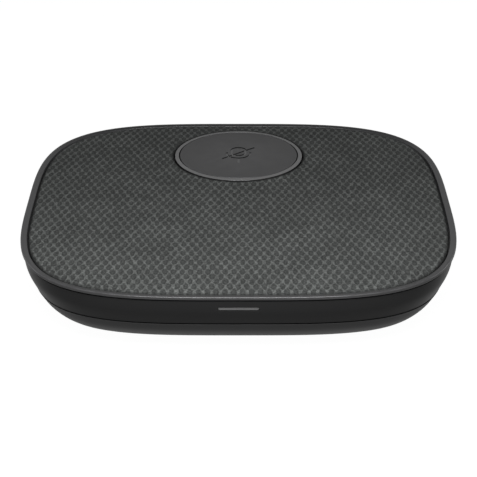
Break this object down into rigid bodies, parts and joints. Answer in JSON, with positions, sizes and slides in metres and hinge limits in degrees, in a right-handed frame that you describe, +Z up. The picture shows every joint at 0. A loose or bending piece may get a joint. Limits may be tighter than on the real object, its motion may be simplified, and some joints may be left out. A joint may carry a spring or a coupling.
{
  "type": "conference speakerphone",
  "caption": "Low rounded-square conference speakerphone with a cloth-covered grille, a sprung round mute button in a light ring, a front status light bar and a rear data port.",
  "frame": {"origin": "centre of the footprint, on the table plane at the underside of the rubber foot ring", "axes": "+Z up, -Y towards the front (status light bar), +X to the right seen from the front"},
  "size_m": [0.102, 0.1008, 0.0193],
  "materials": {
    "matte_black": "fine moulded texture",
    "gloss_black": "semi-gloss moulded",
    "satin_black": "satin",
    "acoustic_cloth": "open woven mesh",
    "foot_rubber": "matte",
    "surround_rubber": "soft matte",
    "button_plastic": "fine matte",
    "diffuser": "smoked translucent, shown opaque",
    "led_white": "moulded lens",
    "chip_black": "moulded package",
    "board_green": "solder mask",
    "port_steel": "stamped",
    "ferrite": "sintered",
    "ballast_steel": "zinc plated",
    "cone_paper": "pressed, matte",
    "spider_cloth": "impregnated cloth",
    "copper": "enamelled wire",
    "connector_plastic": "natural nylon",
    "lead_red": "wire insulation",
    "lead_black": "wire insulation",
    "mic_can": "plated can",
    "screw_steel": "blackened screw"
  },
  "bodies": {
    "base": {"lower_housing": "matte_black", "upper_housing": "gloss_black", "top_rim": "satin_black", "grille_panel": "matte_black", "fabric_cover": "acoustic_cloth", "foot_ring": "foot_rubber", "light_ring": "diffuser", "button_pad": "foot_rubber", "mute_switch": "chip_black", "status_light_bar": "diffuser", "status_led": "led_white", "main_board": "board_green", "port_shell": "port_steel", "port_tongue": "chip_black", "dsp_chip": "chip_black", "codec_chip": "chip_black", "amplifier_chip": "chip_black", "power_inductor": "ferrite", "ballast_plate": "ballast_steel", "speaker_chamber": "matte_black", "speaker_gasket": "foot_rubber", "speaker_frame": "ballast_steel", "speaker_surround": "surround_rubber", "speaker_spider": "spider_cloth", "speaker_top_plate": "ballast_steel", "speaker_magnet": "ferrite", "speaker_yoke": "ballast_steel", "speaker_connector": "connector_plastic", "speaker_lead_positive": "lead_red", "speaker_lead_negative": "lead_black", "microphone_1": "mic_can", "microphone_2": "mic_can", "microphone_3": "mic_can", "microphone_4": "mic_can", "microphone_boot_1": "surround_rubber", "microphone_boot_2": "surround_rubber", "microphone_boot_3": "surround_rubber", "microphone_boot_4": "surround_rubber", "housing_screw_1": "screw_steel", "housing_screw_2": "screw_steel", "housing_screw_3": "screw_steel", "housing_screw_4": "screw_steel", "board_screw_1": "screw_steel", "board_screw_2": "screw_steel", "board_screw_3": "screw_steel", "board_screw_4": "screw_steel", "ring_led_1": "led_white", "ring_led_2": "led_white", "ring_led_3": "led_white", "ring_led_4": "led_white"},
    "mute_key": {"mute_button": "button_plastic", "switch_plunger": "button_plastic"},
    "diaphragm": {"speaker_cone": "cone_paper", "dust_cap": "cone_paper", "voice_coil": "copper"}
  },
  "joints": [
    {"name": "mute_button_press", "type": "slide", "parent": "base", "child": "mute_key", "axis": [0, 0, -1], "range_m": [0, 0.0006], "stiffness_N_per_m": 500, "deforming": ["button_pad"]},
    {"name": "diaphragm_travel", "type": "slide", "parent": "base", "child": "diaphragm", "axis": [0, 0, 1], "range_m": [-0.0007, 0.0007], "stiffness_N_per_m": 1500, "deforming": ["speaker_surround", "speaker_spider"]}
  ]
}
